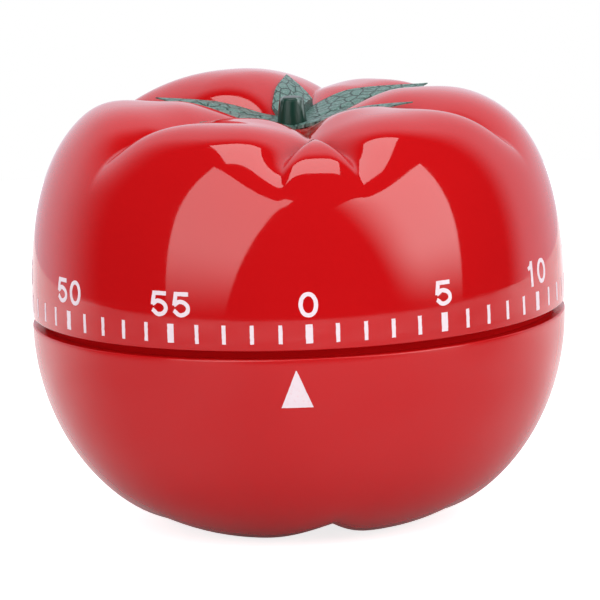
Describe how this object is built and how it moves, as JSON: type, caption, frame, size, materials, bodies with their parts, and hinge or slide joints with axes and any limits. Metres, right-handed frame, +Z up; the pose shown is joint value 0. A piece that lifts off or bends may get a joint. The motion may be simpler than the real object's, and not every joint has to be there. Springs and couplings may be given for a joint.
{
  "type": "kitchen timer",
  "caption": "Tomato-shaped mechanical kitchen timer: a lobed upper shell turns on a round base to set the minutes, over a spring-driven movement with a bell.",
  "frame": {"origin": "middle of the base, on the surface that the timer stands on", "axes": "+Z up along the dial's axis, -Y towards the pointer on the lower shell"},
  "size_m": [0.065, 0.065, 0.0534],
  "materials": {
    "gloss_red_plastic": "high gloss moulded",
    "satin_red_plastic": "satin moulded",
    "green_plastic": "textured moulded",
    "brass": "stamped",
    "steel": "turned",
    "spring_steel": "blued",
    "nickelled_steel": "nickel plated"
  },
  "bodies": {
    "base": {"lower_shell": "satin_red_plastic", "deck_plate": "satin_red_plastic", "deck_screws": "steel", "front_plate": "brass", "back_plate": "brass", "pillars": "steel", "movement_screws": "steel", "back_plate_screws": "steel", "arbor_bush": "brass", "stop_stud": "steel", "mainspring": "spring_steel", "spring_posts": "steel", "hammer_spring": "spring_steel", "bell": "nickelled_steel", "bell_post": "steel", "bell_nut": "brass"},
    "dial": {"upper_shell": "gloss_red_plastic", "calyx": "green_plastic", "main_arbor": "steel", "main_wheel": "brass", "stop_pin": "steel", "clutch_spring": "spring_steel", "strike_cam": "steel", "arbor_clip": "steel"},
    "second_mobile": {"second_arbor": "steel", "second_wheel": "brass"},
    "third_mobile": {"third_arbor": "steel", "third_wheel": "brass"},
    "escape_mobile": {"escape_arbor": "steel", "escape_wheel": "brass"},
    "pallet": {"pallet_arbor": "steel", "pallet_anchor": "steel", "pallet_pins": "steel", "balance_bar": "brass"},
    "hammer": {"hammer_arbor": "steel", "hammer_tail": "steel", "hammer_arm": "steel", "hammer_head": "brass"}
  },
  "joints": [
    {"name": "dial_turn", "type": "hinge", "parent": "base", "child": "dial", "pos_m": [0, 0, 0.0263], "axis": [0, 0, -1], "range_deg": [0, 347], "deforming": ["mainspring"]},
    {"name": "second_turn", "type": "hinge", "parent": "base", "child": "second_mobile", "pos_m": [0, 0.0136, 0.016], "axis": [0, 0, -1], "range_deg": [-2607.5, 5]},
    {"name": "third_turn", "type": "hinge", "parent": "base", "child": "third_mobile", "pos_m": [0.00978, 0.01415, 0.016], "axis": [0, 0, -1], "range_deg": [-30, 15645]},
    {"name": "escape_turn", "type": "hinge", "parent": "base", "child": "escape_mobile", "pos_m": [0.01451, 0.0072, 0.016], "axis": [0, 0, -1], "range_deg": [-93870, 180]},
    {"name": "pallet_swing", "type": "hinge", "parent": "base", "child": "pallet", "pos_m": [0.01649, 0.00049, 0.016], "axis": [0, 0, 1], "range_deg": [-4, 4]},
    {"name": "hammer_swing", "type": "hinge", "parent": "base", "child": "hammer", "pos_m": [-0.0141, -0.00513, 0.016], "axis": [0, 0, 1], "range_deg": [-1.8, 10], "stiffness_Nm_per_rad": 0.002, "deforming": ["hammer_spring"]}
  ],
  "couplings": [
    {"joint": "second_turn", "follows": "dial_turn", "ratio": -7.5},
    {"joint": "third_turn", "follows": "dial_turn", "ratio": 45},
    {"joint": "escape_turn", "follows": "dial_turn", "ratio": -270}
  ]
}
